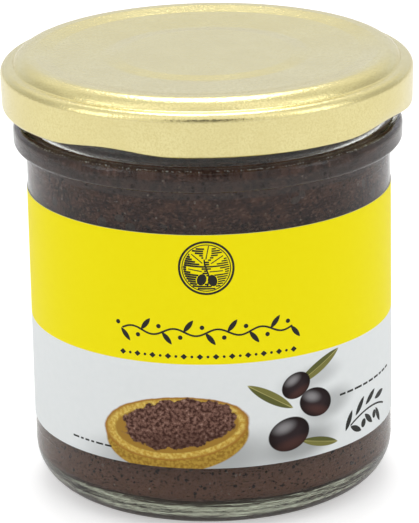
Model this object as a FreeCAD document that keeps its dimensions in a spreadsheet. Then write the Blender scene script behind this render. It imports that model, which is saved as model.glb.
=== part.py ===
import FreeCAD, Part
import os
import re

import Sketcher

# A jar of olive paste: a round clear glass jar, the paste in it, a pressed metal twist-off
# lid and a wrap-around paper label. The jar stands on +Z with its origin at the middle of
# the base, and the front of the label faces -Y.

SIZES = {
    # glass jar
    "body_diameter": 58.8,
    "jar_height": 71.8,
    "glass_wall": 2.2,
    "glass_floor": 5.0,
    "heel_round": 6.6,
    "inner_heel_round": 2.0,
    "bearing_ring_width": 2.4,
    "ring_round": 0.4,
    "push_up_height": 1.3,
    "push_up_slope": 2.2,
    "push_up_round": 1.2,
    "neck_inset": 0.2,
    "neck_height": 10.8,
    "neck_round": 0.8,
    "rim_round": 0.8,
    "bead_overhang": 2.05,
    "bead_height": 3.8,
    "bead_foot_round": 0.4,
    "bead_lower_round": 0.9,
    "bead_upper_round": 1.2,
    # paste
    "headspace": 12.2,
    # lid
    "lid_metal": 0.25,
    "lid_overhang": 1.75,
    "lid_gap": 2.35,
    "skirt_draft": 0.15,
    "shoulder_drop": 1.85,
    "shoulder_round": 1.3,
    "crown_clearance": 1.1,
    "crown_slope": 0.9,
    "crown_drop": 1.35,
    "crown_round": 2.2,
    "crown_foot_round": 0.5,
    "seat_width": 0.5,
    "panel_drop": 0.5,
    "panel_slope": 2.8,
    "panel_round": 2.0,
    "panel_dish": 0.45,
    "button_diameter": 33.0,
    "button_rise": 0.25,
    "button_slope": 2.6,
    "button_round": 6.0,
    "curl_diameter": 1.4,
    "lug_count": 4,
    "lug_angle": 20,
    "lug_depth": 1.5,
    "lug_thickness": 0.9,
    "lug_lift": 0.6,
    "lid_turn": -119,
    # label
    "label_thickness": 0.12,
    "label_rise": 4.7,
    "label_below_bead": 7.1,
    "label_gap": 3.0,
    "label_turn": -90,
}

# Places that several pieces share, worked out from the sizes.
BODY_RADIUS = "body_diameter / 2"
INSIDE_RADIUS = "body_diameter / 2 - glass_wall"
NECK_RADIUS = "body_diameter / 2 - neck_inset"
BEAD_RADIUS = "body_diameter / 2 + bead_overhang"
BEAD_TOP = "jar_height - neck_height"
BEAD_BOTTOM = "jar_height - neck_height - bead_height"
LID_TOP = "jar_height + lid_metal"
LID_BOTTOM = "jar_height - neck_height + lid_gap"
LID_RADIUS = "body_diameter / 2 + bead_overhang + lid_overhang"
SKIRT_RADIUS = "body_diameter / 2 + bead_overhang + lid_overhang - skirt_draft"

doc = FreeCAD.newDocument("OlivePasteJar")


def make_sheet():
    """Writes the driving sizes into the sheet, one named cell each."""
    sheet = doc.addObject("Spreadsheet::Sheet", "Sizes")
    for row, (name, value) in enumerate(SIZES.items(), start=1):
        sheet.set(f"A{row}", name)
        sheet.set(f"B{row}", str(value))
        sheet.setAlias(f"B{row}", name)
    doc.recompute()


def bound(expression):
    """The expression with each size looked up in the sheet."""
    return re.sub(r"[a-z_]+", lambda name: "Sizes." + name.group(), expression)


def number(expression):
    """The expression's value, to draw a sketch where its constraints will hold it."""
    plain = re.sub(r"[a-z_]+", lambda name: str(SIZES[name.group()]), expression)
    return FreeCAD.Units.Quantity(plain).Value


def make_body(name):
    """An empty body whose label names its piece."""
    body = doc.addObject("PartDesign::Body", name)
    body.Label = name
    return body


def origin_feature(body, role):
    """One of the body's own planes or axes."""
    for feature in body.Origin.OriginFeatures:
        if feature.Role == role:
            return feature
    raise ValueError(f"{body.Name} has no {role}")


def make_sketch(body, name):
    """An empty sketch on the body's upright plane, which holds the axis of the jar."""
    sketch = body.newObject("Sketcher::SketchObject", name)
    sketch.AttachmentSupport = [(origin_feature(body, "XZ_Plane"), "")]
    sketch.MapMode = "FlatFace"
    return sketch


def bind(sketch, constraint, expression):
    """Adds a dimension and ties it to the sheet."""
    index = sketch.addConstraint(constraint)
    sketch.setExpression(f"Constraints[{index}]", bound(expression))


def pin_point(sketch, geometry, position, out, up):
    """Holds a point at a distance out from the axis and up from the base."""
    for direction, axis, expression in (("DistanceX", -2, out), ("DistanceY", -1, up)):
        if expression == "0":
            sketch.addConstraint(Sketcher.Constraint("PointOnObject", geometry, position, axis))
        else:
            span = (direction, -1, 1, geometry, position, number(expression))
            bind(sketch, Sketcher.Constraint(*span), expression)


def draw_outline(sketch, corners):
    """A closed outline of straight edges with some of its corners rounded.

    A corner is (out, up, rounding): its distance from the axis, its height and the radius
    that rounds it, or None for a sharp one.
    """
    points = [FreeCAD.Vector(number(out), number(up), 0) for out, up, _ in corners]
    for start, end in zip(points, points[1:] + points[:1]):
        sketch.addGeometry(Part.LineSegment(start, end))
    for index in range(len(points)):
        following = (index + 1) % len(points)
        sketch.addConstraint(Sketcher.Constraint("Coincident", index, 2, following, 1))
    for index, (out, up, rounding) in enumerate(corners):
        held = index
        if rounding:
            arc = sketch.GeometryCount
            sketch.fillet(index, 1, number(rounding), True, True)
            bind(sketch, Sketcher.Constraint("Radius", arc, number(rounding)), rounding)
            held = sketch.GeometryCount - 1
        pin_point(sketch, held, 1, out, up)


def turn(body, kind, sketch, angle="360"):
    """Turns a sketch about the body's upright axis, evenly to both sides of its plane."""
    feature = body.newObject(f"PartDesign::{kind}", sketch.Name + kind)
    feature.Profile = sketch
    feature.ReferenceAxis = (origin_feature(body, "Z_Axis"), [""])
    feature.Midplane = True
    feature.setExpression("Angle", bound(angle))
    sketch.Visibility = False
    doc.recompute()
    return feature


def make_glass_jar():
    """Thick-bottomed jar with a bearing ring, a bead under the neck and a plain finish."""
    ring = f"{BODY_RADIUS} - heel_round"
    ring_inside = f"{ring} - bearing_ring_width"
    body = make_body("glass_jar")
    wall = make_sketch(body, "GlassWall")
    draw_outline(wall, [
        ("0", "push_up_height", None),
        (f"{ring_inside} - push_up_slope", "push_up_height", "push_up_round"),
        (ring_inside, "0", "ring_round"),
        (BODY_RADIUS, "0", "heel_round"),
        (BODY_RADIUS, BEAD_BOTTOM, "bead_foot_round"),
        (BEAD_RADIUS, BEAD_BOTTOM, "bead_lower_round"),
        (BEAD_RADIUS, BEAD_TOP, "bead_upper_round"),
        (NECK_RADIUS, BEAD_TOP, "neck_round"),
        (NECK_RADIUS, "jar_height", "rim_round"),
        (INSIDE_RADIUS, "jar_height", "rim_round"),
        (INSIDE_RADIUS, "glass_floor", "inner_heel_round"),
        ("0", "glass_floor", None),
    ])
    body.Tip = turn(body, "Revolution", wall)
    return body


def make_olive_paste():
    """The paste, which fills the glass from its floor to the level under the lid."""
    body = make_body("olive_paste")
    filling = make_sketch(body, "PasteFilling")
    level = "jar_height - headspace"
    draw_outline(filling, [
        ("0", "glass_floor", None),
        (INSIDE_RADIUS, "glass_floor", "inner_heel_round"),
        (INSIDE_RADIUS, level, None),
        ("0", level, None),
    ])
    body.Tip = turn(body, "Revolution", filling)
    return body


def bottom_face(shape):
    """The name of the flat face that a solid stands on."""
    heights = [face.CenterOfMass.z for face in shape.Faces]
    return f"Face{heights.index(min(heights)) + 1}"


def make_lid():
    """Pressed twist-off lid: a slightly dished panel sunk inside a crown ring over the rim, a
    low safety button in its middle, a rounded shoulder, a plain skirt, and a curled lower edge
    with lugs pressed inward."""
    panel_top = f"{LID_TOP} - panel_drop"
    panel_low = f"{panel_top} - panel_dish"
    button_top = f"{panel_low} + button_rise"
    shoulder_top = f"{LID_TOP} - shoulder_drop"
    crown = f"{NECK_RADIUS} + crown_clearance"
    crown_inside = f"{INSIDE_RADIUS} + seat_width"
    button = "button_diameter / 2"
    curl_middle = f"{LID_BOTTOM} + curl_diameter / 2"
    body = make_body("lid")
    cap = make_sketch(body, "LidCap")
    draw_outline(cap, [
        ("0", curl_middle, None),
        (SKIRT_RADIUS, curl_middle, None),
        (LID_RADIUS, shoulder_top, "shoulder_round"),
        (f"{crown} + crown_slope", f"{LID_TOP} - crown_drop", "crown_foot_round"),
        (crown, LID_TOP, "crown_round"),
        (crown_inside, LID_TOP, "panel_round"),
        (f"{crown_inside} - panel_slope", panel_top, "panel_round"),
        (button, panel_low, "button_round"),
        (f"{button} - button_slope", button_top, "button_round"),
        ("0", button_top, None),
    ])
    solid_cap = turn(body, "Revolution", cap)
    shell = body.newObject("PartDesign::Thickness", "LidShell")
    shell.Base = (solid_cap, [bottom_face(solid_cap.Shape)])
    shell.setExpression("Value", bound("lid_metal"))
    shell.Reversed = True
    doc.recompute()
    curl = make_sketch(body, "LidCurl")
    middle = FreeCAD.Vector(number(f"{SKIRT_RADIUS} - curl_diameter / 2"), number(curl_middle), 0)
    across = number("curl_diameter / 2")
    curl.addGeometry(Part.Circle(middle, FreeCAD.Vector(0, 0, 1), across))
    pin_point(curl, 0, 3, f"{SKIRT_RADIUS} - curl_diameter / 2", curl_middle)
    bind(curl, Sketcher.Constraint("Radius", 0, across), "curl_diameter / 2")
    turn(body, "Revolution", curl)
    pressed = make_sketch(body, "LugPress")
    draw_outline(pressed, rectangle(
        f"{SKIRT_RADIUS} - curl_diameter", f"{SKIRT_RADIUS} + lid_metal",
        f"{LID_BOTTOM} - lug_lift", f"{LID_BOTTOM} + lug_lift"))
    press = turn(body, "Groove", pressed, "lug_angle")
    tab = make_sketch(body, "LugTab")
    draw_outline(tab, rectangle(
        f"{SKIRT_RADIUS} - curl_diameter - lug_depth", f"{SKIRT_RADIUS} - curl_diameter / 2",
        f"{LID_BOTTOM} + lug_lift", f"{LID_BOTTOM} + lug_lift + lug_thickness"))
    lug = turn(body, "Revolution", tab, "lug_angle")
    lugs = body.newObject("PartDesign::PolarPattern", "Lugs")
    lugs.Originals = [press, lug]
    lugs.Axis = (origin_feature(body, "Z_Axis"), [""])
    lugs.setExpression("Occurrences", bound("lug_count"))
    body.Tip = lugs
    return body


def rectangle(inner, outer, low, high):
    """The four sharp corners between two distances from the axis and two heights."""
    return [(inner, low, None), (outer, low, None), (outer, high, None), (inner, high, None)]


def make_label():
    """Paper strip round the jar's straight wall, with a narrow gap between its ends."""
    body = make_body("label")
    strip = make_sketch(body, "LabelStrip")
    draw_outline(strip, rectangle(
        BODY_RADIUS, f"{BODY_RADIUS} + label_thickness",
        "heel_round + label_rise", f"{BEAD_BOTTOM} - label_below_bead"))
    body.Tip = turn(body, "Revolution", strip, "360 - label_gap / (body_diameter * 3.14159) * 360")
    return body


def turn_piece(body, angle):
    """Turns a finished piece about the jar's axis."""
    body.Placement = FreeCAD.Placement(FreeCAD.Vector(), FreeCAD.Vector(0, 0, 1), number(angle))
    body.setExpression("Placement.Rotation.Angle", bound(angle))


def check_model(bodies):
    """Stops if any feature failed or any piece isn't one valid solid."""
    for feature in doc.Objects:
        if "Invalid" in feature.State or "Error" in feature.State:
            raise RuntimeError(f"{feature.Label} failed")
    for body in bodies:
        shape = body.Shape
        if shape.isNull() or not shape.isValid() or len(shape.Solids) != 1:
            raise RuntimeError(f"{body.Label} isn't one valid solid")


make_sheet()
glass_jar = make_glass_jar()
olive_paste = make_olive_paste()
lid = make_lid()
label = make_label()
turn_piece(lid, "lid_turn")
turn_piece(label, "label_turn")
doc.recompute()

pieces = [glass_jar, olive_paste, lid, label]
check_model(pieces)
os.makedirs("parts", exist_ok=True)
for piece in pieces:
    piece.Shape.exportStep(f"parts/{piece.Label}.step")
    box = piece.Shape.BoundBox
    volume = piece.Shape.Volume / 1000
    print(f"{piece.Label}: {volume:.2f} cm3, {box.XLength:.2f} x {box.YLength:.2f} x {box.ZLength:.2f} mm")
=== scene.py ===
import math
import random

import bmesh
import bpy
from mathutils import Matrix, Vector


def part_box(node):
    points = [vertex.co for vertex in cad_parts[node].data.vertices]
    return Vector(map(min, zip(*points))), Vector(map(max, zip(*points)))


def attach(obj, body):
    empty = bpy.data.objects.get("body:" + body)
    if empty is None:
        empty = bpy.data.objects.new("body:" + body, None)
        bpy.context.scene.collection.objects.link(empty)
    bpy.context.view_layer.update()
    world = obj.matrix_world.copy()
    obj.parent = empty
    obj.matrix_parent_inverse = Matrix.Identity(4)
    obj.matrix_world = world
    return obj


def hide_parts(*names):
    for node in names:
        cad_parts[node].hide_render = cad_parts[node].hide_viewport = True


# The looks of a jar of olive paste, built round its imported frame. Metres, +Z up, and the
# front of the label faces -Y. Every piece rides on the one body, "root".

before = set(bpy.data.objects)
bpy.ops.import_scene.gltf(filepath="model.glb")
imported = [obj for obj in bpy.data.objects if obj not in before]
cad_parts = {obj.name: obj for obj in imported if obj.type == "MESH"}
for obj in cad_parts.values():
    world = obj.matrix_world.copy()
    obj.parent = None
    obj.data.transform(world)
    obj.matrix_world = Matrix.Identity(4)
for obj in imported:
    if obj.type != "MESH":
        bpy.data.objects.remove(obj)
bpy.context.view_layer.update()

MM = 0.001

# ---------------------------------------------------------------------------------------
# Sizes. The outer ones come from the frame, and the rest are the maker's own.

JAR_LOW, JAR_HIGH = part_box("glass_jar")
PASTE_LOW, PASTE_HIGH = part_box("olive_paste")
LID_LOW, LID_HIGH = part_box("lid")
LABEL_LOW, LABEL_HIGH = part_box("label")

LABEL_THICKNESS = 0.12 * MM
LABEL_GAP = 3 * MM
LABEL_RADIUS = -LABEL_LOW.y
BODY_RADIUS = LABEL_RADIUS - LABEL_THICKNESS
INSIDE_RADIUS = PASTE_HIGH.x
BEAD_RADIUS = JAR_HIGH.x
RIM = JAR_HIGH.z
FLOOR = PASTE_LOW.z
LEVEL = PASTE_HIGH.z
LID_TOP = LID_HIGH.z
LID_BOTTOM = LID_LOW.z

HEEL_ROUND = 6.6 * MM
INNER_HEEL_ROUND = 2.0 * MM
BEARING_RING = 2.4 * MM
RING_ROUND = 0.4 * MM
PUSH_UP = 1.3 * MM
PUSH_UP_SLOPE = 2.2 * MM
PUSH_UP_ROUND = 1.2 * MM
NECK_RADIUS = BODY_RADIUS - 0.2 * MM
NECK_ROUND = 0.8 * MM
RIM_ROUND = 0.8 * MM
BEAD_TOP = RIM - 10.8 * MM
BEAD_BOTTOM = BEAD_TOP - 3.8 * MM
BEAD_FOOT_ROUND = 0.4 * MM
BEAD_LOWER_ROUND = 0.9 * MM
BEAD_UPPER_ROUND = 1.2 * MM

LID_METAL = 0.25 * MM
LID_RADIUS = BEAD_RADIUS + 1.75 * MM
SKIRT_RADIUS = LID_RADIUS - 0.15 * MM
SHOULDER_TOP = LID_TOP - 1.85 * MM
SHOULDER_ROUND = 1.3 * MM
CROWN_RADIUS = NECK_RADIUS + 1.1 * MM
CROWN_SLOPE = 0.9 * MM
CROWN_DROP = 1.62 * MM
CROWN_ROUND = 2.9 * MM
CROWN_FOOT_ROUND = 0.35 * MM
CROWN_INSIDE = INSIDE_RADIUS + 0.5 * MM
PANEL_TOP = LID_TOP - 0.5 * MM
PANEL_SLOPE = 2.8 * MM
PANEL_ROUND = 2.0 * MM
PANEL_LOW = PANEL_TOP - 0.45 * MM
BUTTON_RADIUS = 16.5 * MM
BUTTON_TOP = PANEL_LOW + 0.25 * MM
BUTTON_SLOPE = 2.6 * MM
BUTTON_ROUND = 6.0 * MM
CURL_RADIUS = 0.7 * MM
LUG_COUNT = 4
LUG_ANGLE = math.radians(20)
LUG_DEPTH = 1.5 * MM
LUG_THICKNESS = 0.9 * MM
LUG_LIFT = 0.6 * MM
LUG_DENT = 0.5 * MM
LUG_PRESS_HEIGHT = 2.6 * MM
LUG_CORNER = 0.3 * MM
LID_TURN = math.radians(-119)

PASTE_BITE = 0.06 * MM
PASTE_TOP_ROUND = 0.3 * MM
ROUND_SEGMENTS = 288
ARC_STEP = math.radians(7)
SHARP_ANGLE = math.radians(35)

YELLOW_FROM = 28.8
FIELD_EDGE = 0.04
INK_PROUD = 0.02 * MM
LABEL_COLUMNS = 360
LABEL_LIFT = 0.01 * MM

# ---------------------------------------------------------------------------------------
# Shapes


def add_piece(name, mesh, materials, node=None):
    """Puts a finished mesh in the scene, riding on the jar."""
    piece = bpy.data.objects.new(name, mesh)
    bpy.context.scene.collection.objects.link(piece)
    for material in materials:
        mesh.materials.append(material)
    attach(piece, "root")
    if node:
        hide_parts(node)
    return piece


def rounded(corners):
    """The points of an outline whose corners (out, up, rounding) are eased by arcs."""
    points = []
    for index, (out, up, rounding) in enumerate(corners):
        here = Vector((out, up))
        if not rounding:
            points.append(here)
            continue
        before = (Vector(corners[index - 1][:2]) - here).normalized()
        after = (Vector(corners[(index + 1) % len(corners)][:2]) - here).normalized()
        half = before.angle(after) / 2
        middle = here + (before + after).normalized() * (rounding / math.sin(half))
        start = here + before * (rounding / math.tan(half)) - middle
        end = here + after * (rounding / math.tan(half)) - middle
        sweep = math.atan2(start.x * end.y - start.y * end.x, start.dot(end))
        steps = max(2, math.ceil(abs(sweep) / ARC_STEP))
        for step in range(steps + 1):
            points.append(middle + Matrix.Rotation(sweep * step / steps, 2) @ start)
    return points


def turn_outline(work, outline, ring=False, start=0.0, sweep=math.tau):
    """Turns an outline about the jar's axis. A ring outline is closed, any other one runs
    from axis to axis, and a part turn of a ring gets flat ends."""
    whole = sweep >= math.tau
    steps = max(6, round(ROUND_SEGMENTS * sweep / math.tau))
    count = steps if whole else steps + 1
    rows = []
    for point in outline:
        if point.x < 1e-7:
            rows.append([work.verts.new((0, 0, point.y))])
            continue
        turns = (start + sweep * step / steps for step in range(count))
        rows.append([
            work.verts.new((point.x * math.sin(turn), -point.x * math.cos(turn), point.y))
            for turn in turns
        ])
    pairs = list(zip(rows, rows[1:]))
    if ring:
        pairs.append((rows[-1], rows[0]))
    for low, high in pairs:
        for step in range(steps):
            after = (step + 1) % count
            corners = [low[step % len(low)], low[after % len(low)],
                       high[after % len(high)], high[step % len(high)]]
            if len(low) == 1:
                corners.pop(1)
            if len(high) == 1:
                corners.pop()
            work.faces.new(corners)
    if not whole:
        work.faces.new([row[0] for row in rows])
        work.faces.new([row[-1] for row in rows])


def finished(name, work):
    """Closes a work mesh: normals outwards, smooth faces and sharp edges where it turns."""
    bmesh.ops.recalc_face_normals(work, faces=work.faces)
    mesh = bpy.data.meshes.new(name)
    work.to_mesh(mesh)
    work.free()
    mesh.shade_smooth()
    mesh.set_sharp_from_angle(angle=SHARP_ANGLE)
    return mesh


def weigh_normals(piece):
    """Lets the large flats hold their own shading beside the narrow rounds."""
    modifier = piece.modifiers.new("flats", "WEIGHTED_NORMAL")
    modifier.keep_sharp = True


# ---------------------------------------------------------------------------------------
# Material helpers


class Nodes:
    """Adds and joins the nodes of one material, group or world."""

    def __init__(self, tree):
        self.tree = tree

    def add(self, kind, settings=None, **inputs):
        node = self.tree.nodes.new(kind)
        for name, value in (settings or {}).items():
            setattr(node, name, value)
        for name, value in inputs.items():
            self.feed(node.inputs[name.replace("_", " ")], value)
        return node

    def feed(self, socket, value):
        if isinstance(value, bpy.types.NodeSocket):
            self.tree.links.new(value, socket)
        else:
            socket.default_value = value

    def maths(self, operation, *values):
        node = self.tree.nodes.new("ShaderNodeMath")
        node.operation = operation
        for socket, value in zip(node.inputs, values):
            self.feed(socket, value)
        return node.outputs[0]

    def vector_maths(self, operation, *values):
        node = self.tree.nodes.new("ShaderNodeVectorMath")
        node.operation = operation
        for socket, value in zip(node.inputs, values):
            self.feed(socket, value)
        return node.outputs["Value" if operation in ("LENGTH", "DOT_PRODUCT") else "Vector"]

    def mix(self, share, first, second):
        node = self.tree.nodes.new("ShaderNodeMix")
        node.data_type = "RGBA"
        self.feed(node.inputs[0], share)
        self.feed(node.inputs[6], first)
        self.feed(node.inputs[7], second)
        return node.outputs[2]

    def ramp(self, value, low, high):
        """0 at low and 1 at high, eased between them. low may be the larger."""
        node = self.tree.nodes.new("ShaderNodeMapRange")
        node.interpolation_type = "SMOOTHSTEP"
        self.feed(node.inputs[0], value)
        if low <= high:
            node.inputs[1].default_value, node.inputs[2].default_value = low, high
        else:
            node.inputs[1].default_value, node.inputs[2].default_value = high, low
            node.inputs[3].default_value, node.inputs[4].default_value = 1, 0
        return node.outputs[0]

    def both(self, *masks):
        result = masks[0]
        for mask in masks[1:]:
            result = self.maths("MULTIPLY", result, mask)
        return result


def new_material(name):
    """A material with only a Principled shader, and its node helper."""
    material = bpy.data.materials.new(name)
    material.use_nodes = True
    return material, Nodes(material.node_tree), material.node_tree.nodes["Principled BSDF"]


def object_place(nodes):
    return nodes.add("ShaderNodeTexCoord").outputs["Object"]


def new_group(name, inputs, outputs):
    """An empty shader group. An input with no default is a vector, and the rest are numbers."""
    group = bpy.data.node_groups.new(name, "ShaderNodeTree")
    for label, default in inputs.items():
        kind = "NodeSocketVector" if default is None else "NodeSocketFloat"
        socket = group.interface.new_socket(label, in_out="INPUT", socket_type=kind)
        if default is not None:
            socket.default_value = default
    for label, kind in outputs.items():
        group.interface.new_socket(label, in_out="OUTPUT", socket_type="NodeSocket" + kind)
    nodes = Nodes(group)
    given = group.nodes.new("NodeGroupInput").outputs
    result = group.nodes.new("NodeGroupOutput").inputs
    return group, nodes, given, result


def make_mottle_group():
    """Soft noise and a finer grain of one size, for paste, paper, glass and lacquer."""
    group, nodes, given, result = new_group(
        "mottle",
        {"Place": None, "Size": 0.001, "Flatness": 1.0},
        {"Soft": "Float", "Grain": "Float"},
    )
    scale = nodes.maths("DIVIDE", 1.0, given["Size"])
    stretch = nodes.add("ShaderNodeCombineXYZ", X=1.0, Y=1.0, Z=given["Flatness"])
    place = nodes.vector_maths("MULTIPLY", given["Place"], stretch.outputs[0])
    soft = nodes.add("ShaderNodeTexNoise", Vector=place, Scale=scale, Detail=3.0)
    fine = nodes.add("ShaderNodeTexNoise", Vector=place,
                     Scale=nodes.maths("MULTIPLY", scale, 5.3), Detail=2.0)
    nodes.feed(result["Soft"], soft.outputs["Fac"])
    nodes.feed(result["Grain"], fine.outputs["Fac"])
    return group


MOTTLE = make_mottle_group()


def mottle(nodes, place, size, flatness=1.0):
    node = nodes.add("ShaderNodeGroup", {"node_tree": MOTTLE}, Place=place)
    node.inputs["Size"].default_value = size
    node.inputs["Flatness"].default_value = flatness
    return node.outputs["Soft"], node.outputs["Grain"]


def bump(nodes, shader, height, depth, strength=1.0):
    node = nodes.add("ShaderNodeBump", Height=height, Distance=depth, Strength=strength)
    nodes.feed(shader.inputs["Normal"], node.outputs["Normal"])


# ---------------------------------------------------------------------------------------
# Finishes


def make_glass():
    """Clear moulded glass with a faint green tint, a slight wave and fine mould lines."""
    material, nodes, shader = new_material("clear_jar_glass")
    shader.inputs["Base Color"].default_value = (0.98, 0.99, 0.98, 1)
    shader.inputs["Roughness"].default_value = 0.0
    shader.inputs["IOR"].default_value = 1.51
    shader.inputs["Transmission Weight"].default_value = 1.0
    shader.inputs["Specular Tint"].default_value = (0.65, 0.65, 0.65, 1)
    place = object_place(nodes)
    wave, _ = mottle(nodes, place, 9 * MM, 2.2)
    broad, _ = mottle(nodes, place, 9 * MM, 13.0)
    thin, _ = mottle(nodes, place, 6 * MM, 18.0)
    streaks = nodes.maths("MULTIPLY_ADD", thin, 0.5, broad)
    _, ripple = mottle(nodes, place, 1.6 * MM)
    up = nodes.add("ShaderNodeSeparateXYZ", Vector=place).outputs["Z"]
    height = nodes.maths("MULTIPLY_ADD", nodes.ramp(up, 9 * MM, 5 * MM),
                         nodes.maths("MULTIPLY", streaks, 0.5), wave)
    bead = nodes.both(nodes.ramp(up, 55 * MM, 57 * MM), nodes.ramp(up, 63 * MM, 61 * MM))
    height = nodes.maths("MULTIPLY_ADD", bead, nodes.maths("MULTIPLY", ripple, 0.25), height)
    for line, half in ((55.4, 0.16), (54.6, 0.10), (9.6, 0.12)):
        away = nodes.maths("ABSOLUTE", nodes.maths("SUBTRACT", up, line * MM))
        ridge = nodes.ramp(away, half * MM, 0.0)
        height = nodes.maths("MULTIPLY_ADD", ridge, 0.16, height)
    bump(nodes, shader, height, 0.25 * MM, 0.6)
    body = nodes.add("ShaderNodeVolumeAbsorption")
    body.inputs["Color"].default_value = (0.50, 0.53, 0.38, 1)
    body.inputs["Density"].default_value = 30
    light = nodes.add("ShaderNodeLightPath")
    clear = nodes.add("ShaderNodeBsdfTransparent")
    clear.inputs["Color"].default_value = (0.9, 0.93, 0.9, 1)
    mixed = nodes.add("ShaderNodeMixShader", Fac=light.outputs["Is Shadow Ray"])
    nodes.feed(mixed.inputs[1], shader.outputs[0])
    nodes.feed(mixed.inputs[2], clear.outputs[0])
    output = material.node_tree.nodes["Material Output"]
    nodes.feed(output.inputs["Surface"], mixed.outputs[0])
    nodes.feed(output.inputs["Volume"], body.outputs[0])
    return material


def make_paste():
    """Finely ground dark olives: brown-purple mottling with pale fibres and black skins."""
    material, nodes, shader = new_material("olive_paste_grain")
    place = object_place(nodes)
    soft, grain = mottle(nodes, place, 3.0 * MM, 1.8)
    _, fine = mottle(nodes, place, 1.1 * MM, 1.2)
    tone = nodes.mix(nodes.ramp(soft, 0.34, 0.68),
                     (0.034, 0.014, 0.009, 1), (0.086, 0.037, 0.024, 1))
    up = nodes.add("ShaderNodeSeparateXYZ", Vector=place).outputs["Z"]
    # Painted light: the paste is made paler towards the bottom, standing in for the shade the lid
    # casts over its upper part.
    low = nodes.maths("MULTIPLY", nodes.ramp(up, 18 * MM, 9 * MM), 0.7)
    tone = nodes.mix(low, tone, (0.145, 0.072, 0.048, 1))
    tone = nodes.mix(nodes.ramp(grain, 0.50, 0.74), tone, (0.150, 0.080, 0.060, 1))
    tone = nodes.mix(nodes.ramp(grain, 0.42, 0.30), tone, (0.010, 0.006, 0.005, 1))
    tone = nodes.mix(nodes.ramp(fine, 0.66, 0.74), tone, (0.17, 0.12, 0.095, 1))
    smear = nodes.both(nodes.ramp(up, 55.0 * MM, 55.6 * MM), nodes.ramp(up, 58.8 * MM, 58.0 * MM))
    tone = nodes.mix(nodes.maths("MULTIPLY", smear, 0.5), tone, (0.070, 0.058, 0.058, 1))
    nodes.feed(shader.inputs["Base Color"], tone)
    shader.inputs["Roughness"].default_value = 0.6
    shader.inputs["Specular IOR Level"].default_value = 0.06
    bump(nodes, shader, grain, 0.25 * MM, 0.7)
    return material


def make_fleck(name, tone, roughness):
    """Small things held in the paste: bubbles against the glass, fibres and bits of skin."""
    material, nodes, shader = new_material(name)
    soft, _ = mottle(nodes, object_place(nodes), 0.5 * MM)
    darker = tuple(part * 0.6 for part in tone) + (1,)
    nodes.feed(shader.inputs["Base Color"],
               nodes.mix(nodes.ramp(soft, 0.3, 0.7), darker, tone + (1,)))
    shader.inputs["Roughness"].default_value = roughness
    shader.inputs["Specular IOR Level"].default_value = 0.08
    return material


def make_lid_metal():
    """Pale gold lacquer over tinplate, satin, with the sheet's faint rolling grain."""
    material, nodes, shader = new_material("pale_gold_lacquer")
    place = object_place(nodes)
    soft, _ = mottle(nodes, place, 7 * MM)
    _, grain = mottle(nodes, place, 1.5 * MM)
    _, mesh = mottle(nodes, place, 3.4 * MM)
    tone = nodes.mix(nodes.ramp(soft, 0.3, 0.7),
                     (0.765, 0.675, 0.325, 1), (0.805, 0.72, 0.36, 1))
    tone = nodes.mix(nodes.ramp(grain, 0.44, 0.62), tone, (0.735, 0.64, 0.30, 1))
    nodes.feed(shader.inputs["Base Color"], tone)
    shader.inputs["Metallic"].default_value = 1.0
    nodes.feed(shader.inputs["Roughness"], nodes.maths("MULTIPLY_ADD", grain, 0.10, 0.16))
    height = nodes.maths("MULTIPLY_ADD", mesh, 0.8, grain)
    bump(nodes, shader, height, 0.04 * MM, 1.0)
    return material


def make_paper():
    """The bare stock that shows at the label's cut edges and inside."""
    material, nodes, shader = new_material("label_stock")
    soft, grain = mottle(nodes, object_place(nodes), 0.8 * MM)
    nodes.feed(shader.inputs["Base Color"],
               nodes.mix(soft, (0.72, 0.72, 0.70, 1), (0.80, 0.80, 0.78, 1)))
    shader.inputs["Roughness"].default_value = 0.7
    bump(nodes, shader, grain, 0.01 * MM, 0.4)
    return material


def make_ink(name, tone):
    """A flat printing ink with the slight mottle of paper under it."""
    material, nodes, shader = new_material(name)
    soft, _ = mottle(nodes, object_place(nodes), 0.6 * MM)
    paler = tuple(min(1, part * 1.3 + 0.004) for part in tone) + (1,)
    nodes.feed(shader.inputs["Base Color"], nodes.mix(soft, tone + (1,), paler))
    shader.inputs["Roughness"].default_value = 0.45
    shader.inputs["Specular IOR Level"].default_value = 0.15
    return material


# ---------------------------------------------------------------------------------------
# The label's print. Places are in millimetres on the flat paper: s along it from the front's
# middle, and z up from the table.


def make_oval_group():
    """An oval on the flat print: its mask, and where a point lies in it from -1 to 1."""
    group, nodes, given, result = new_group(
        "printed_oval",
        {"Place": None, "Middle s": 0.0, "Middle z": 0.0, "Half length": 1.0,
         "Half height": 1.0, "Turn": 0.0, "Softness": 0.05, "Wobble": 0.0},
        {"Mask": "Float", "Inside": "Vector", "Reach": "Float"},
    )
    middle = nodes.add("ShaderNodeCombineXYZ", X=given["Middle s"], Y=given["Middle z"])
    moved = nodes.vector_maths("SUBTRACT", given["Place"], middle.outputs[0])
    turned = nodes.add("ShaderNodeVectorRotate", {"rotation_type": "Z_AXIS"},
                       Vector=moved, Angle=nodes.maths("MULTIPLY", given["Turn"], -1.0))
    size = nodes.add("ShaderNodeCombineXYZ", X=given["Half length"], Y=given["Half height"],
                     Z=1.0)
    inside = nodes.vector_maths("DIVIDE", turned.outputs[0], size.outputs[0])
    reach = nodes.vector_maths("LENGTH", inside)
    reach = nodes.maths("ADD", reach, given["Wobble"])
    low = nodes.maths("SUBTRACT", 1.0, given["Softness"])
    high = nodes.maths("ADD", 1.0, given["Softness"])
    mask = nodes.tree.nodes.new("ShaderNodeMapRange")
    mask.interpolation_type = "SMOOTHSTEP"
    for socket, value in zip(mask.inputs, (reach, low, high, 1.0, 0.0)):
        nodes.feed(socket, value)
    nodes.feed(result["Mask"], mask.outputs[0])
    nodes.feed(result["Inside"], inside)
    nodes.feed(result["Reach"], reach)
    return group


OVAL = make_oval_group()


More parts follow.
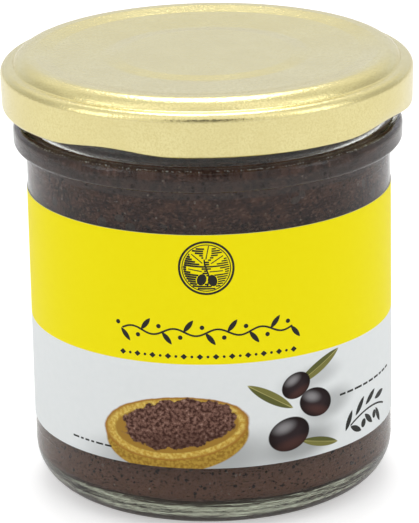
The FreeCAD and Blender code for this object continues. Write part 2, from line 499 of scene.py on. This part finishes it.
def oval(nodes, place, middle, half, turn=0.0, softness=0.05, wobble=0.0):
    node = nodes.add("ShaderNodeGroup", {"node_tree": OVAL}, Place=place)
    values = {"Middle s": middle[0], "Middle z": middle[1], "Half length": half[0],
              "Half height": half[1], "Turn": math.radians(turn), "Softness": softness,
              "Wobble": wobble}
    for name, value in values.items():
        nodes.feed(node.inputs[name], value)
    return node.outputs


def paint_shadow(nodes, place, tone, middle, half, turn, depth):
    mask = oval(nodes, place, middle, half, turn, softness=0.55)["Mask"]
    return nodes.mix(nodes.maths("MULTIPLY", mask, depth), tone, (0.30, 0.31, 0.31, 1))


def paint_dish(nodes, place, tone, noise, coarse):
    """A shallow golden dish seen from the front, heaped with dark paste."""
    wobble = nodes.maths("MULTIPLY_ADD", coarse, 0.05, -0.025)
    wall = oval(nodes, place, (-6.3, 16.2), (11.9, 5.7), 6, 0.02)
    wall_tone = nodes.mix(nodes.ramp(noise, 0.35, 0.65),
                          (0.30, 0.165, 0.025, 1), (0.47, 0.30, 0.05, 1))
    tone = nodes.mix(wall["Mask"], tone, wall_tone)
    rim = oval(nodes, place, (-6.4, 17.9), (12.1, 5.3), 6, 0.02, wobble)
    rim_tone = nodes.mix(nodes.ramp(noise, 0.35, 0.7),
                         (0.52, 0.31, 0.05, 1), (0.72, 0.55, 0.14, 1))
    rim_tone = nodes.mix(nodes.ramp(rim["Reach"], 0.90, 0.99), rim_tone, (0.36, 0.17, 0.03, 1))
    tone = nodes.mix(rim["Mask"], tone, rim_tone)
    well = oval(nodes, place, (-6.2, 17.9), (10.3, 4.1), 6, 0.03)
    tone = nodes.mix(well["Mask"], tone, (0.36, 0.20, 0.035, 1))
    ragged = nodes.maths("MULTIPLY_ADD", coarse, 0.5, -0.25)
    heap = oval(nodes, place, (-5.6, 18.7), (9.3, 4.2), 8, 0.03, ragged)
    lit = nodes.add("ShaderNodeSeparateXYZ", Vector=heap["Inside"]).outputs["Y"]
    heap_tone = nodes.mix(nodes.ramp(noise, 0.36, 0.62),
                          (0.055, 0.024, 0.018, 1), (0.20, 0.105, 0.08, 1))
    heap_tone = nodes.mix(nodes.ramp(noise, 0.60, 0.74), heap_tone, (0.36, 0.23, 0.185, 1))
    heap_tone = nodes.mix(nodes.maths("MULTIPLY", nodes.ramp(lit, 0.1, -1.0), 0.6), heap_tone,
                          (0.05, 0.022, 0.016, 1))
    return nodes.mix(heap["Mask"], tone, heap_tone)


def paint_leaf(nodes, place, tone, middle, half, turn):
    """A narrow leaf: two ovals' overlap, with a pale rib."""
    angle = math.radians(turn)
    side = Vector((-math.sin(angle), math.cos(angle))) * half[1] * 1.1
    low = oval(nodes, place, (middle[0] - side.x, middle[1] - side.y),
               (half[0] * 1.25, half[1] * 2.1), turn, 0.03)
    high = oval(nodes, place, (middle[0] + side.x, middle[1] + side.y),
                (half[0] * 1.25, half[1] * 2.1), turn, 0.03)
    mask = nodes.both(low["Mask"], high["Mask"])
    across = nodes.maths("SUBTRACT", low["Reach"], high["Reach"])
    leaf_tone = nodes.mix(nodes.ramp(across, -0.2, 0.25),
                          (0.20, 0.19, 0.055, 1), (0.11, 0.115, 0.035, 1))
    rib = nodes.ramp(nodes.maths("ABSOLUTE", across), 0.07, 0.02)
    leaf_tone = nodes.mix(rib, leaf_tone, (0.40, 0.37, 0.14, 1))
    return nodes.mix(mask, tone, leaf_tone)


def paint_olive(nodes, place, tone, middle, half, turn):
    """A dark ripe olive with a soft window of light and a warm lower edge."""
    body = oval(nodes, place, middle, half, turn, 0.03)
    skin = nodes.mix(nodes.ramp(body["Reach"], 0.35, 1.0),
                     (0.030, 0.020, 0.022, 1), (0.016, 0.010, 0.010, 1))
    lit = oval(nodes, place, (middle[0] - 0.25 * half[0], middle[1] + 0.45 * half[1]),
               (half[0] * 0.42, half[1] * 0.30), turn, 0.8)["Mask"]
    skin = nodes.mix(nodes.maths("MULTIPLY", lit, 0.55), skin, (0.42, 0.41, 0.42, 1))
    warm = oval(nodes, place, (middle[0] + 0.15 * half[0], middle[1] - 0.6 * half[1]),
                (half[0] * 0.7, half[1] * 0.3), turn, 0.8)["Mask"]
    skin = nodes.mix(nodes.maths("MULTIPLY", warm, 0.45), skin, (0.12, 0.05, 0.04, 1))
    return nodes.mix(body["Mask"], tone, skin)


def make_print():
    """Coated label paper printed with a yellow field over a white one and a still life."""
    material, nodes, shader = new_material("printed_label")
    place = nodes.add("ShaderNodeAttribute", {"attribute_name": "print"}).outputs["Vector"]
    up = nodes.add("ShaderNodeSeparateXYZ", Vector=place).outputs["Y"]
    _, noise = mottle(nodes, place, 2.9)
    coarse, _ = mottle(nodes, place, 1.7)
    paper, fibre = mottle(nodes, place, 1.2)
    tone = nodes.mix(paper, (0.755, 0.785, 0.79, 1), (0.80, 0.825, 0.83, 1))
    for middle, half, turn, depth in (
        ((-4.5, 12.6), (15.0, 4.2), 4, 0.75), ((14.6, 13.9), (5.6, 2.6), 10, 0.8),
        ((19.6, 19.4), (4.6, 2.2), 10, 0.6), ((16.4, 24.6), (5.0, 1.8), 8, 0.45),
    ):
        tone = paint_shadow(nodes, place, tone, middle, half, turn, depth)
    tone = paint_dish(nodes, place, tone, noise, coarse)
    for middle, half, turn in (
        ((9.2, 22.6), (4.2, 0.95), 148), ((17.8, 26.2), (4.4, 0.95), 28),
        ((18.0, 13.5), (3.5, 0.8), -14),
    ):
        tone = paint_leaf(nodes, place, tone, middle, half, turn)
    for middle, half, turn in (
        ((13.6, 23.9), (2.6, 2.1), 25), ((17.2, 20.4), (3.1, 2.4), -20),
        ((12.3, 15.9), (3.6, 2.8), 12),
    ):
        tone = paint_olive(nodes, place, tone, middle, half, turn)
    yellow = nodes.mix(paper, (0.90, 0.775, 0.002, 1), (0.92, 0.805, 0.006, 1))
    tone = nodes.mix(nodes.ramp(up, YELLOW_FROM - FIELD_EDGE, YELLOW_FROM + FIELD_EDGE), tone, yellow)
    nodes.feed(shader.inputs["Base Color"], tone)
    shader.inputs["Roughness"].default_value = 0.45
    shader.inputs["Specular IOR Level"].default_value = 0.06
    bump(nodes, shader, fibre, 0.008 * MM, 0.4)
    return material


def on_label(along, up, radius):
    """A place on the wrapped paper, from millimetres on the flat print."""
    turn = along * MM / LABEL_RADIUS
    return (radius * math.sin(turn), -radius * math.cos(turn), up * MM)


def add_ink(work, rows):
    """A closed film of ink over a grid of flat places."""
    films = []
    for radius in (LABEL_RADIUS - INK_PROUD / 2, LABEL_RADIUS + INK_PROUD):
        films.append([[work.verts.new(on_label(s, z, radius)) for s, z in row] for row in rows])
    low, high = films
    last_row, last = len(rows) - 1, len(rows[0]) - 1
    for row in range(last_row):
        for step in range(last):
            for film in films:
                work.faces.new((film[row][step], film[row][step + 1],
                                film[row + 1][step + 1], film[row + 1][step]))
        for step in (0, last):
            work.faces.new((low[row][step], low[row + 1][step],
                            high[row + 1][step], high[row][step]))
    for row in (0, last_row):
        for step in range(last):
            work.faces.new((low[row][step], low[row][step + 1],
                            high[row][step + 1], high[row][step]))


def add_stroke(work, points, width):
    """A line of ink. The width is one number, or one for each point."""
    widths = width if isinstance(width, list) else [width] * len(points)
    rows = []
    for index, point in enumerate(points):
        here = Vector(point)
        before = Vector(points[max(index - 1, 0)])
        after = Vector(points[min(index + 1, len(points) - 1)])
        along = (after - before).normalized()
        side = Vector((-along.y, along.x)) * widths[index] / 2
        rows.append([tuple(here - side), tuple(here + side)])
    add_ink(work, rows)


def add_blot(work, middle, half, turn=0.0, point=1.0, across=2):
    """A filled oval, or a leaf where point is over 1, lying at a turn in degrees."""
    steps = 14
    spin = Matrix.Rotation(math.radians(turn), 2)
    rows = []
    for step in range(steps + 1):
        along = -math.cos(math.pi * step / steps)
        reach = max(0.012, half[1] * (1 - along * along) ** (0.5 * point))
        rows.append([
            tuple(Vector(middle) + spin @ Vector((along * half[0], reach * (2 * k / across - 1))))
            for k in range(across + 1)
        ])
    add_ink(work, rows)


def arc(middle, radius, start, end, step=0.5):
    """Points along part of a circle, given in degrees."""
    count = max(2, math.ceil(abs(math.radians(end - start)) * radius / step))
    turns = (math.radians(start + (end - start) * k / count) for k in range(count + 1))
    return [(middle[0] + radius * math.cos(t), middle[1] + radius * math.sin(t)) for t in turns]


def in_leaf(point, leaf, margin):
    middle, half, turn = leaf
    local = Matrix.Rotation(math.radians(-turn), 2) @ (Vector(point) - Vector(middle))
    along = local.x / (half[0] + margin)
    if abs(along) >= 1:
        return False
    return abs(local.y) < half[1] * (1 - along * along) ** 0.75 + margin


def draw_medallion(work, middle):
    """A round engraved stamp: a leafy sprig with two olives, left clear of the hatching."""
    radius, hatched, pitch = 4.4, 3.6, 0.36
    at = Vector(middle)
    leaves = [
        (tuple(at + Vector((0.2, 2.5))), (1.35, 0.50), 78),
        (tuple(at + Vector((-1.45, 1.55))), (1.35, 0.48), 138),
        (tuple(at + Vector((1.7, 1.35))), (1.35, 0.48), 34),
        (tuple(at + Vector((-1.75, -0.35))), (1.30, 0.46), 168),
        (tuple(at + Vector((1.55, -0.55))), (1.25, 0.46), 4),
    ]
    olives = [
        (tuple(at + Vector((-0.75, -1.9))), (0.95, 0.72), 70),
        (tuple(at + Vector((0.95, -2.05))), (0.95, 0.72), 105),
    ]
    clear = leaves + olives
    add_stroke(work, arc(middle, radius - 0.16, 0, 360), 0.34)
    add_stroke(work, arc(middle, radius - 0.62, 0, 360), 0.14)
    lines = int(hatched / pitch)
    for line in range(-lines, lines + 1):
        rise = line * pitch
        half = math.sqrt(hatched ** 2 - rise ** 2)
        run = []
        count = 60
        for step in range(count + 1):
            along = -half + 2 * half * step / count
            bow = 0.35 * (1 - (along / hatched) ** 2)
            point = (at.x + along, at.y + rise - bow + 0.2)
            open_here = not any(in_leaf(point, shape, 0.10) for shape in clear)
            if open_here and (Vector(point) - at).length < hatched + 0.02:
                run.append(point)
            if (not open_here or step == count) and len(run) > 2:
                weight = [0.18 + 0.14 * (0.5 - (p[0] - at.x) / (2 * hatched)) for p in run]
                add_stroke(work, run, weight)
                run = []
            elif not open_here:
                run = []
    stem = [(at.x + 0.05 + 0.35 * math.sin(k * 0.55), at.y - 3.1 + k * 0.5) for k in range(10)]
    add_stroke(work, stem, 0.22)
    for place, half, turn in leaves:
        spin = Matrix.Rotation(math.radians(turn), 2)
        rib = [tuple(Vector(place) + spin @ Vector((k * half[0] * 0.42, 0)))
               for k in (-2, -1, 0, 1, 2)]
        add_stroke(work, rib, 0.15)
    for place, half, turn in olives:
        add_blot(work, place, half, turn)


def draw_garland(work, start, end, up):
    """A running stem with paired leaves and small fruits, as a plain rule ornament."""
    length = end - start
    wave = [(start + length * k / 72, up + 0.55 * math.sin(math.tau * 4 * k / 72))
            for k in range(73)]
    add_stroke(work, wave, 0.30)
    for index in range(9):
        along = start + length * index / 8
        rise = up + 0.55 * math.sin(math.pi * index)
        lean = 1 if index % 2 else -1
        add_blot(work, (along + 0.55, rise + lean * 1.05), (1.25, 0.40), lean * 52, 1.7)
        add_blot(work, (along - 0.75, rise - lean * 0.85), (0.36, 0.36))


def draw_bead_rule(work, start, end, up):
    """A row of small lozenges and dots."""
    count = 22
    for index in range(count + 1):
        along = start + (end - start) * index / count
        if index % 2:
            add_blot(work, (along, up), (0.22, 0.22))
        else:
            add_stroke(work, [(along - 0.52, up), (along, up), (along + 0.52, up)],
                       [0.02, 0.95, 0.02])


def draw_dashes(work, rng, start, end, up, height, shortest=0.9, longest=2.8):
    """A thin broken rule."""
    along = start
    while along < end - shortest:
        reach = min(rng.uniform(shortest, longest), end - along)
        count = max(1, math.ceil(reach / 0.8))
        add_stroke(work, [(along + reach * k / count, up) for k in range(count + 1)], height)
        along += reach + 0.45


def draw_spray(work, middle):
    """A small leafy spray, as a plain stamp on the white field."""
    s, z = middle
    add_stroke(work, arc((s + 1.0, z - 12.2), 12.4, 118, 66), 0.30)
    for along, rise, turn in ((-5.2, -0.3, 62), (-2.3, 1.35, 48), (0.9, 1.9, 30), (4.2, 1.3, 8)):
        add_blot(work, (s + along, z + rise), (1.75, 0.52), turn, 1.7)
    for along, rise, turn in ((-3.4, -2.2, -28), (0.3, -1.6, -42), (3.6, -2.0, -60)):
        add_blot(work, (s + along, z + rise), (1.6, 0.50), turn, 1.7)
    add_blot(work, (s - 1.3, z - 1.9), (0.75, 0.62), 60)
    add_blot(work, (s + 2.2, z - 1.5), (0.70, 0.58), 80)


def build_ink(black, grey):
    work = bmesh.new()
    draw_medallion(work, (-0.7, 44.75))
    draw_garland(work, -14.6, 13.0, 34.1)
    draw_bead_rule(work, -14.6, 13.2, 30.1)
    add_piece("front_ornaments", finished("front_ornaments", work), [black])

    rng = random.Random(11)
    work = bmesh.new()
    draw_dashes(work, rng, 22.2, 38.0, 20.3, 0.34, 0.7, 2.0)
    draw_spray(work, (29.5, 15.6))
    draw_dashes(work, rng, -25.6, -17.0, 13.5, 0.30, 0.5, 1.6)
    add_piece("white_field_marks", finished("white_field_marks", work), [black])

    work = bmesh.new()
    for start, end, top, rows in ((49, 83, 46.6, 14), (-83, -49, 46.6, 9), (-83, -49, 25.6, 9)):
        for row in range(rows):
            tail = end if row % 5 != 4 else start + 0.6 * (end - start)
            up = top - row * 1.45
            if abs(up - YELLOW_FROM) > 0.6:
                draw_dashes(work, rng, start, tail, up, 0.42)
    add_piece("back_small_print", finished("back_small_print", work), [grey])


# ---------------------------------------------------------------------------------------
# Pieces


def build_glass(material):
    ring = BODY_RADIUS - HEEL_ROUND
    ring_inside = ring - BEARING_RING
    work = bmesh.new()
    turn_outline(work, rounded([
        (0, PUSH_UP, None),
        (ring_inside - PUSH_UP_SLOPE, PUSH_UP, PUSH_UP_ROUND),
        (ring_inside, 0, RING_ROUND),
        (BODY_RADIUS, 0, HEEL_ROUND),
        (BODY_RADIUS, BEAD_BOTTOM, BEAD_FOOT_ROUND),
        (BEAD_RADIUS, BEAD_BOTTOM, BEAD_LOWER_ROUND),
        (BEAD_RADIUS, BEAD_TOP, BEAD_UPPER_ROUND),
        (NECK_RADIUS, BEAD_TOP, NECK_ROUND),
        (NECK_RADIUS, RIM, RIM_ROUND),
        (INSIDE_RADIUS, RIM, RIM_ROUND),
        (INSIDE_RADIUS, FLOOR, INNER_HEEL_ROUND),
        (0, FLOOR, None),
    ]))
    piece = add_piece("jar_glass", finished("jar_glass", work), [material],
                      "glass_jar")
    weigh_normals(piece)


def build_paste(material):
    radius = INSIDE_RADIUS + PASTE_BITE
    floor = FLOOR - PASTE_BITE
    work = bmesh.new()
    turn_outline(work, rounded([
        (0, floor, None),
        (radius, floor, INNER_HEEL_ROUND),
        (radius, LEVEL, PASTE_TOP_ROUND),
        (0, LEVEL, None),
    ]))
    add_piece("paste_filling", finished("paste_filling", work), [material],
              "olive_paste")


def make_scatter_tree():
    """Scatters flattened drops over a surface, each lying along it."""
    tree = bpy.data.node_groups.new("flattened_drops", "GeometryNodeTree")
    ports = {}
    for label, kind in (("Surface", "Geometry"), ("Count per mm2", "Float"), ("Seed", "Int"),
                        ("Smallest", "Float"), ("Largest", "Float"), ("Thickness", "Float"),
                        ("Finish", "Material")):
        ports[label] = tree.interface.new_socket(
            label, in_out="INPUT", socket_type="NodeSocket" + kind).identifier
    tree.interface.new_socket("Drops", in_out="OUTPUT", socket_type="NodeSocketGeometry")
    nodes = Nodes(tree)
    given = tree.nodes.new("NodeGroupInput").outputs
    result = tree.nodes.new("NodeGroupOutput").inputs
    density = nodes.maths("MULTIPLY", given["Count per mm2"], 1 / MM / MM)
    spots = nodes.add("GeometryNodeDistributePointsOnFaces", Mesh=given["Surface"],
                      Density=density, Seed=given["Seed"])
    reach = nodes.add("FunctionNodeRandomValue", {"data_type": "FLOAT"}, Seed=given["Seed"])
    nodes.feed(reach.inputs[2], given["Smallest"])
    nodes.feed(reach.inputs[3], given["Largest"])
    wide = nodes.add("FunctionNodeRandomValue", {"data_type": "FLOAT"},
                     Seed=nodes.maths("ADD", given["Seed"], 7.0))
    nodes.feed(wide.inputs[2], 0.45)
    nodes.feed(wide.inputs[3], 1.0)
    spin = nodes.add("FunctionNodeRandomValue", {"data_type": "FLOAT"},
                     Seed=nodes.maths("ADD", given["Seed"], 13.0))
    nodes.feed(spin.inputs[2], 0.0)
    nodes.feed(spin.inputs[3], math.tau)
    lie = nodes.add("ShaderNodeCombineXYZ", Z=spin.outputs[1])
    turned = nodes.add("FunctionNodeRotateEuler", {"rotation_type": "EULER", "space": "LOCAL"})
    nodes.feed(turned.inputs["Rotation"], spots.outputs["Rotation"])
    nodes.feed(turned.inputs["Rotate By"], lie.outputs[0])
    size = nodes.add("ShaderNodeCombineXYZ", X=reach.outputs[1],
                     Y=nodes.maths("MULTIPLY", reach.outputs[1], wide.outputs[1]),
                     Z=given["Thickness"])
    drop = nodes.add("GeometryNodeMeshUVSphere", Segments=10, Rings=6, Radius=1.0)
    placed = nodes.add("GeometryNodeInstanceOnPoints", Points=spots.outputs["Points"],
                       Instance=drop.outputs["Mesh"], Rotation=turned.outputs[0],
                       Scale=size.outputs[0])
    real = nodes.add("GeometryNodeRealizeInstances", Geometry=placed.outputs[0])
    done = nodes.add("GeometryNodeSetMaterial", Geometry=real.outputs[0],
                     Material=given["Finish"])
    nodes.feed(result["Drops"], done.outputs[0])
    return tree, ports


def scatter_drops(name, finish, outlines, seed, density, sizes, thickness):
    """One piece of drops over the bands that some outlines make round the jar."""
    work = bmesh.new()
    for outline in outlines:
        turn_outline(work, outline)
    side = bpy.data.objects.new(name + "_surface", bpy.data.meshes.new(name + "_surface"))
    work.to_mesh(side.data)
    work.free()
    bpy.context.scene.collection.objects.link(side)
    tree, ports = make_scatter_tree()
    modifier = side.modifiers.new("drops", "NODES")
    modifier.node_group = tree
    for label, value in (("Count per mm2", density), ("Seed", seed), ("Smallest", sizes[0]),
                         ("Largest", sizes[1]), ("Thickness", thickness), ("Finish", finish)):
        modifier[ports[label]] = value
    ready = side.evaluated_get(bpy.context.evaluated_depsgraph_get())
    mesh = bpy.data.meshes.new_from_object(ready)
    mesh.name = name
    bpy.data.objects.remove(side)
    mesh.materials.clear()
    for polygon in mesh.polygons:
        polygon.use_smooth = True
    add_piece(name, mesh, [finish])


def build_bits(bubble, pale, dark):
    """What shows against the glass: trapped bubbles, pale fibres and bits of black skin."""
    radius = INSIDE_RADIUS + PASTE_BITE
    bands = [[Vector((radius, low)), Vector((radius, high))] for low, high in (
        (FLOOR + 1.2 * MM, LABEL_LOW.z + 1 * MM), (LABEL_HIGH.z - 1 * MM, LEVEL - 1 * MM))]
    scatter_drops("trapped_bubbles", bubble, bands, 4, 0.012,
                  (0.4 * MM, 1.0 * MM), 0.08 * MM)
    scatter_drops("pale_flecks", pale, bands, 5, 0.09,
                  (0.08 * MM, 0.24 * MM), 0.07 * MM)
    scatter_drops("dark_skins", dark, bands, 6, 0.34,
                  (0.12 * MM, 0.34 * MM), 0.07 * MM)


def build_painted_bead_highlight(material):
    """A painted highlight: pale flecks along the bead's upper edge, standing in for the thin bright
    line that light makes there.
    """
    middle = Vector((BEAD_RADIUS - BEAD_UPPER_ROUND, BEAD_TOP - BEAD_UPPER_ROUND))
    edge = [middle + Vector((math.cos(turn), math.sin(turn))) * BEAD_UPPER_ROUND
            for turn in (math.radians(step) for step in (48, 52, 56, 60))]
    scatter_drops("painted_bead_line", material, [edge], 8, 12.0,
                  (0.04 * MM, 0.15 * MM), 0.012 * MM)


def press_lugs(work):
    """Presses the skirt's lower edge in and up where each lug is folded."""
    for vert in work.verts:
        out = math.hypot(vert.co.x, vert.co.y)
        share = min(1, max(0, 1 - (vert.co.z - LID_BOTTOM) / LUG_PRESS_HEIGHT))
        if out < SKIRT_RADIUS - 3 * CURL_RADIUS or share == 0:
            continue
        azimuth = math.atan2(vert.co.x, -vert.co.y)
        apart = (azimuth - LID_TURN + math.pi / LUG_COUNT) % (math.tau / LUG_COUNT)
        apart = abs(apart - math.pi / LUG_COUNT) / LUG_ANGLE
        if apart >= 1:
            continue
        bell = 0.5 + 0.5 * math.cos(math.pi * apart)
        share = share * share * (3 - 2 * share) * bell
        inwards = 1 - LUG_DENT * share / out
        vert.co.x *= inwards
        vert.co.y *= inwards
        vert.co.z += LUG_LIFT * share * max(0, 1 - (vert.co.z - LID_BOTTOM) / LUG_PRESS_HEIGHT)


def build_lid(material):
    curl_middle = LID_BOTTOM + CURL_RADIUS
    face = rounded([
        (SKIRT_RADIUS, curl_middle, None),
        (LID_RADIUS, SHOULDER_TOP, SHOULDER_ROUND),
        (CROWN_RADIUS + CROWN_SLOPE, LID_TOP - CROWN_DROP, CROWN_FOOT_ROUND),
        (CROWN_RADIUS, LID_TOP, CROWN_ROUND),
        (CROWN_INSIDE, LID_TOP, PANEL_ROUND),
        (CROWN_INSIDE - PANEL_SLOPE, PANEL_TOP, PANEL_ROUND),
        (BUTTON_RADIUS, PANEL_LOW, BUTTON_ROUND),
        (BUTTON_RADIUS - BUTTON_SLOPE, BUTTON_TOP, BUTTON_ROUND),
        (0, BUTTON_TOP, None),
    ])
    inner = []
    for index, point in enumerate(face):
        before = face[max(index - 1, 0)]
        after = face[min(index + 1, len(face) - 1)]
        along = (after - before).normalized()
        inner.append(point + Vector((-along.y, along.x)) * LID_METAL)
    inner[-1].x = 0
    skirt_rise = [point.lerp(face[1], k / 8) for point in face[:1] for k in range(1, 8)]
    curl = [
        Vector((SKIRT_RADIUS - CURL_RADIUS + CURL_RADIUS * math.cos(turn),
                curl_middle + CURL_RADIUS * math.sin(turn)))
        for turn in (math.radians(-step * 12) for step in range(1, 24))
    ]
    outer = face[:1] + skirt_rise + face[1:]
    work = bmesh.new()
    turn_outline(work, list(reversed(outer)) + curl + inner)
    press_lugs(work)
    tab = rounded([
        (SKIRT_RADIUS - 2 * CURL_RADIUS - LUG_DEPTH, LID_BOTTOM + LUG_LIFT, LUG_CORNER),
        (SKIRT_RADIUS - CURL_RADIUS, LID_BOTTOM + LUG_LIFT, LUG_CORNER),
        (SKIRT_RADIUS - CURL_RADIUS, LID_BOTTOM + LUG_LIFT + LUG_THICKNESS, LUG_CORNER),
        (SKIRT_RADIUS - 2 * CURL_RADIUS - LUG_DEPTH, LID_BOTTOM + LUG_LIFT + LUG_THICKNESS,
         LUG_CORNER),
    ])
    for lug in range(LUG_COUNT):
        middle = LID_TURN + math.tau * lug / LUG_COUNT
        turn_outline(work, tab, True, middle - LUG_ANGLE / 2, LUG_ANGLE)
    piece = add_piece("gold_lid", finished("gold_lid", work), [material],
                      "lid")
    weigh_normals(piece)


def build_label(print_finish, stock):
    """The paper strip, with its ends apart at the back. Each point carries its flat place."""
    half = (math.pi - LABEL_GAP / 2 / LABEL_RADIUS) * LABEL_RADIUS / MM
    heights = [LABEL_LOW.z / MM, LABEL_HIGH.z / MM]
    work = bmesh.new()
    flat = work.verts.layers.float_vector.new("print")
    sheets = []
    for radius in (BODY_RADIUS + LABEL_LIFT, LABEL_RADIUS):
        sheet = []
        for up in heights:
            row = []
            for step in range(LABEL_COLUMNS + 1):
                along = -half + 2 * half * step / LABEL_COLUMNS
                vert = work.verts.new(on_label(along, up, radius))
                vert[flat] = (along, up, 0)
                row.append(vert)
            sheet.append(row)
        sheets.append(sheet)
    inner, outer = sheets
    for step in range(LABEL_COLUMNS):
        for sheet, material_index in ((outer, 0), (inner, 1)):
            face = work.faces.new((sheet[0][step], sheet[0][step + 1],
                                   sheet[1][step + 1], sheet[1][step]))
            face.material_index = material_index
        for row in (0, 1):
            face = work.faces.new((inner[row][step], inner[row][step + 1],
                                   outer[row][step + 1], outer[row][step]))
            face.material_index = 1
    for step in (0, LABEL_COLUMNS):
        face = work.faces.new((inner[0][step], outer[0][step], outer[1][step], inner[1][step]))
        face.material_index = 1
    add_piece("paper_label", finished("paper_label", work), [print_finish, stock],
              "label")


# ---------------------------------------------------------------------------------------
# Stage, light and camera

WALL_LEVEL = 0.80
OVERHEAD_LIFT = 0.22
FRONT_LIFT = 0.16
SIDE_DROP = 0.19
GAP_DROP = 0.24
HIGH_GAP_DROP = 0.58
GLOSSY_LIFT = 0.02


def build_stage():
    """Pale floor that is white to the eye, and keeps the jar's soft shadow."""
    bpy.ops.mesh.primitive_plane_add(size=8)
    floor = bpy.context.object
    floor.name = "floor"
    material, nodes, shader = new_material("pale_floor")
    shader.inputs["Base Color"].default_value = (0.80, 0.80, 0.80, 1)
    shader.inputs["Roughness"].default_value = 0.9
    shader.inputs["Specular IOR Level"].default_value = 0.0
    light = nodes.add("ShaderNodeLightPath")
    shader.inputs["Emission Color"].default_value = (1, 1, 1, 1)
    seen = nodes.maths("MULTIPLY", light.outputs["Is Camera Ray"], 0.40)
    seen = nodes.maths("MULTIPLY_ADD", light.outputs["Is Transmission Ray"], 0.22, seen)
    seen = nodes.maths("MULTIPLY_ADD", light.outputs["Is Glossy Ray"], 0.06, seen)
    nodes.feed(shader.inputs["Emission Strength"], seen)
    floor.data.materials.append(material)


def build_world():
    """White studio walls, lighter overhead and in front, a little darker at the sides, with
    a dark gap in front where the camera stands and a cool band low at the back."""
    world = bpy.data.worlds.new("studio")
    bpy.context.scene.world = world
    world.use_nodes = True
    nodes = Nodes(world.node_tree)
    back = world.node_tree.nodes["Background"]
    direction = nodes.add("ShaderNodeTexCoord").outputs["Generated"]
    parts = nodes.add("ShaderNodeSeparateXYZ", Vector=direction).outputs
    azimuth = nodes.maths("ARCTAN2", parts["X"], nodes.maths("MULTIPLY", parts["Y"], -1.0))
    azimuth = nodes.maths("ABSOLUTE", azimuth)
    height = nodes.maths("ARCSINE", parts["Z"])
    light = nodes.add("ShaderNodeLightPath").outputs
    degrees = math.radians
    gap = nodes.both(nodes.ramp(azimuth, degrees(25), degrees(12)),
                     nodes.ramp(height, degrees(-2), degrees(6)),
                     nodes.ramp(height, degrees(46), degrees(36)))
    cool = nodes.both(nodes.ramp(azimuth, degrees(120), degrees(150)),
                      nodes.ramp(height, degrees(7), degrees(11)),
                      nodes.ramp(height, degrees(21), degrees(15)))
    side = nodes.both(nodes.ramp(azimuth, degrees(78), degrees(100)),
                      nodes.ramp(azimuth, degrees(145), degrees(122)))
    lift = nodes.ramp(height, degrees(27), degrees(40))
    front = nodes.both(nodes.ramp(azimuth, degrees(90), degrees(60)),
                       nodes.ramp(azimuth, degrees(18), degrees(30)))
    depth = nodes.maths("MULTIPLY_ADD", nodes.ramp(height, degrees(14), degrees(26)),
                        -HIGH_GAP_DROP, -GAP_DROP)
    studio = nodes.maths("MULTIPLY_ADD", gap, depth, WALL_LEVEL)
    studio = nodes.maths("MULTIPLY_ADD", lift, OVERHEAD_LIFT, studio)
    studio = nodes.maths("MULTIPLY_ADD", side, -SIDE_DROP, studio)
    studio = nodes.maths("MULTIPLY_ADD", front, FRONT_LIFT, studio)
    studio = nodes.maths("MULTIPLY_ADD", light["Is Glossy Ray"], GLOSSY_LIFT, studio)
    eye = nodes.maths("MAXIMUM", light["Is Camera Ray"], light["Is Transmission Ray"])
    cool = nodes.both(cool, nodes.maths("SUBTRACT", 1.0, eye))
    nodes.feed(back.inputs["Color"], nodes.mix(cool, (1, 1, 1, 1), (1, 1.06, 1.30, 1)))
    nodes.feed(back.inputs["Strength"], nodes.maths("MAXIMUM", eye, studio))


def build_softbox(name, azimuth, height, distance, size, radiance):
    """An area lamp aimed at the jar. The azimuth is from the front, in degrees."""
    lamp = bpy.data.lights.new(name, "AREA")
    lamp.shape = "RECTANGLE"
    lamp.size, lamp.size_y = size
    lamp.energy = radiance * math.pi * size[0] * size[1]
    holder = bpy.data.objects.new(name, lamp)
    bpy.context.scene.collection.objects.link(holder)
    turn, rise = math.radians(azimuth), math.radians(height)
    away = Vector((math.sin(turn) * math.cos(rise), -math.cos(turn) * math.cos(rise),
                   math.sin(rise)))
    holder.location = Vector((0, 0, 0.05)) + away * distance
    holder.rotation_euler = (-away).to_track_quat("-Z", "Y").to_euler()


def build_camera():
    camera = bpy.data.cameras.new("camera")
    camera.lens = 238.6
    camera.clip_start = 0.01
    holder = bpy.data.objects.new("camera", camera)
    bpy.context.scene.collection.objects.link(holder)
    elevation = math.radians(18.64)
    distance = 0.5673
    aim = Vector((-0.17 * MM, 0, 35.87 * MM))
    away = Vector((0, -math.cos(elevation), math.sin(elevation)))
    look = (-away).to_track_quat("-Z", "Y").to_matrix()
    roll = Matrix.Rotation(math.radians(-1.14), 3, "Z")
    holder.matrix_world = Matrix.Translation(aim + away * distance) @ (look @ roll).to_4x4()
    bpy.context.scene.camera = holder


build_glass(make_glass())
build_paste(make_paste())
build_bits(make_fleck("bubble_skin", (0.088, 0.062, 0.054), 0.3),
           make_fleck("pale_fibre", (0.24, 0.18, 0.145), 0.5),
           make_fleck("black_olive_skin", (0.026, 0.013, 0.010), 0.5))
# Pale grey flecks painted on the bead as its highlight line.
build_painted_bead_highlight(make_fleck("painted_highlight_flecks", (0.42, 0.42, 0.39), 0.5))
build_lid(make_lid_metal())
build_label(make_print(), make_paper())
build_ink(make_ink("black_ink", (0.016, 0.016, 0.014)),
          make_ink("grey_ink", (0.05, 0.05, 0.045)))
build_stage()
build_world()
build_softbox("back_softbox", 180, 62, 1.1, (0.41, 0.55), 5.0)
build_softbox("left_softbox", -66, 27, 1.0, (0.36, 0.5), 1.5)
build_softbox("right_softbox", 66, 27, 1.0, (0.36, 0.5), 1.5)
build_camera()

bpy.context.scene.view_settings.view_transform = "Standard"
